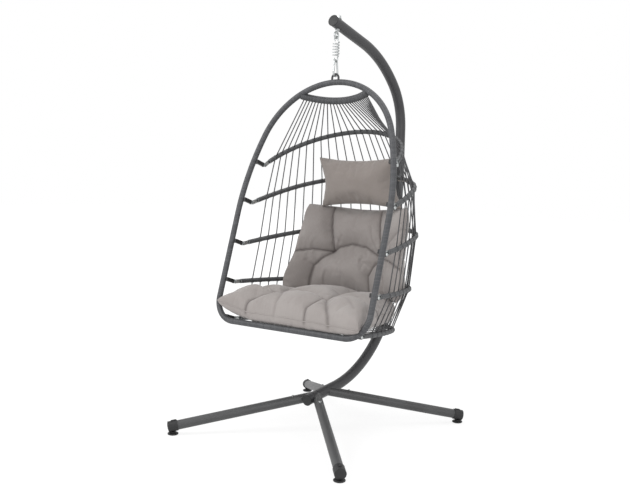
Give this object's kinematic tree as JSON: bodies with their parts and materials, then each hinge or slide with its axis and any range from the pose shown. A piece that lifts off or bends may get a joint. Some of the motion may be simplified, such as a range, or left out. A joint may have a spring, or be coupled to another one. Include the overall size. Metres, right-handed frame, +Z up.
{
  "type": "hanging egg chair",
  "caption": "Egg-shaped corded basket chair with cushions that hangs by a spring and snap hook from a curved arch stand on four splayed legs; its ribs fold up.",
  "frame": {"origin": "on the floor, straight below the eye that the basket hangs from", "axes": "+Z up, -Y the way the sitter faces, +X to the right as seen from the front"},
  "size_m": [0.998, 1.255, 1.9612],
  "materials": {
    "stand_paint": "powder coat, satin",
    "zinc": "zinc plated",
    "black_plastic": "moulded, matt",
    "wrapped_tube": "steel tube wrapped in flat plastic strand",
    "cord": "round plastic cord",
    "seat_cloth": "woven polyester cover",
    "pillow_cloth": "woven polyester cover"
  },
  "bodies": {
    "stand": {"arch_lower": "stand_paint", "arch_upper": "stand_paint", "arch_screws": "zinc", "arch_cap_top": "black_plastic", "arch_cap_foot": "black_plastic", "leg_sockets": "stand_paint", "leg_fl": "stand_paint", "leg_fr": "stand_paint", "leg_bl": "stand_paint", "leg_br": "stand_paint", "leg_screws": "zinc", "foot_cap_fl": "black_plastic", "foot_cap_fr": "black_plastic", "foot_cap_bl": "black_plastic", "foot_cap_br": "black_plastic", "eye_bolt": "zinc", "eye_nut": "zinc"},
    "wheel_fl": {"foot_pad_fl": "black_plastic"},
    "wheel_fr": {"foot_pad_fr": "black_plastic"},
    "wheel_bl": {"foot_pad_bl": "black_plastic"},
    "wheel_br": {"foot_pad_br": "black_plastic"},
    "coil": {"spring": "zinc"},
    "snap": {"snap_hook": "zinc", "snap_pin": "zinc"},
    "gate": {"snap_gate": "zinc"},
    "basket": {"hoop_top": "wrapped_tube", "hoop_foot": "wrapped_tube", "hang_ring": "wrapped_tube", "crown": "wrapped_tube", "hinge_blocks": "black_plastic", "hinge_bolts": "zinc", "hinge_nuts": "zinc", "cords_1": "cord", "cords_2": "cord", "cords_3": "cord", "cords_4": "cord", "cords_5": "cord", "cords_seat": "cord", "seat_cushion": "seat_cloth", "back_cushion": "seat_cloth"},
    "fold_1": {"rib_1": "wrapped_tube"},
    "fold_2": {"rib_2": "wrapped_tube", "head_pillow": "pillow_cloth", "pillow_ties": "pillow_cloth"},
    "fold_3": {"rib_3": "wrapped_tube"},
    "fold_4": {"rib_4": "wrapped_tube"},
    "fold_5": {"rib_5": "wrapped_tube"}
  },
  "joints": [
    {"name": "level_fl", "type": "hinge", "parent": "stand", "child": "wheel_fl", "pos_m": [-0.46542, -0.57493, 0.01], "axis": [0, 0, 1], "range_deg": [-180, 180]},
    {"name": "level_fr", "type": "hinge", "parent": "stand", "child": "wheel_fr", "pos_m": [0.46542, -0.57493, 0.01], "axis": [0, 0, 1], "range_deg": [-180, 180]},
    {"name": "level_bl", "type": "hinge", "parent": "stand", "child": "wheel_bl", "pos_m": [-0.46542, 0.46656, 0.01], "axis": [0, 0, 1], "range_deg": [-180, 180]},
    {"name": "level_br", "type": "hinge", "parent": "stand", "child": "wheel_br", "pos_m": [0.46542, 0.46656, 0.01], "axis": [0, 0, 1], "range_deg": [-180, 180]},
    {"name": "swing", "type": "hinge", "parent": "stand", "child": "coil", "pos_m": [0, 0, 1.85868], "axis": [1, 0, 0], "range_deg": [-12, 5]},
    {"name": "bounce", "type": "slide", "parent": "coil", "child": "snap", "axis": [0, 0, 1], "range_m": [-0.03, 0.01], "stiffness_N_per_m": 6000, "springref_m": 0.0692, "deforming": ["spring"]},
    {"name": "gate_turn", "type": "hinge", "parent": "snap", "child": "gate", "pos_m": [0, -0.01519, 1.69758], "axis": [-1, 0, 0], "range_deg": [0, 32], "stiffness_Nm_per_rad": 0.05, "springref_deg": -17.19},
    {"name": "swivel", "type": "hinge", "parent": "snap", "child": "basket", "pos_m": [0, 0, 1.68428], "axis": [0, 0, 1], "range_deg": [-25, 25]},
    {"name": "rib_1_fold", "type": "hinge", "parent": "basket", "child": "fold_1", "pos_m": [0, -0.06047, 1.25695], "axis": [1, 0, 0], "range_deg": [0, 35.05], "deforming": ["cords_1"]},
    {"name": "rib_2_fold", "type": "hinge", "parent": "basket", "child": "fold_2", "pos_m": [0, -0.11719, 1.07143], "axis": [1, 0, 0], "range_deg": [0, 49.05], "deforming": ["cords_2"]},
    {"name": "rib_3_fold", "type": "hinge", "parent": "basket", "child": "fold_3", "pos_m": [0, -0.1783, 0.87156], "axis": [1, 0, 0], "range_deg": [0, 57.55], "deforming": ["cords_3", "back_cushion", "head_pillow"]},
    {"name": "rib_4_fold", "type": "hinge", "parent": "basket", "child": "fold_4", "pos_m": [0, -0.23414, 0.6889], "axis": [1, 0, 0], "range_deg": [0, 66.55], "deforming": ["cords_4"]},
    {"name": "rib_5_fold", "type": "hinge", "parent": "basket", "child": "fold_5", "pos_m": [0, -0.2856, 0.52059], "axis": [1, 0, 0], "range_deg": [0, 70.05], "deforming": ["cords_5", "cords_seat", "seat_cushion"]}
  ],
  "couplings": [
    {"joint": "rib_1_fold", "follows": "rib_4_fold", "ratio": 0.52592},
    {"joint": "rib_2_fold", "follows": "rib_4_fold", "ratio": 0.73629},
    {"joint": "rib_3_fold", "follows": "rib_4_fold", "ratio": 0.86401},
    {"joint": "rib_5_fold", "follows": "rib_4_fold", "ratio": 1.0526}
  ]
}
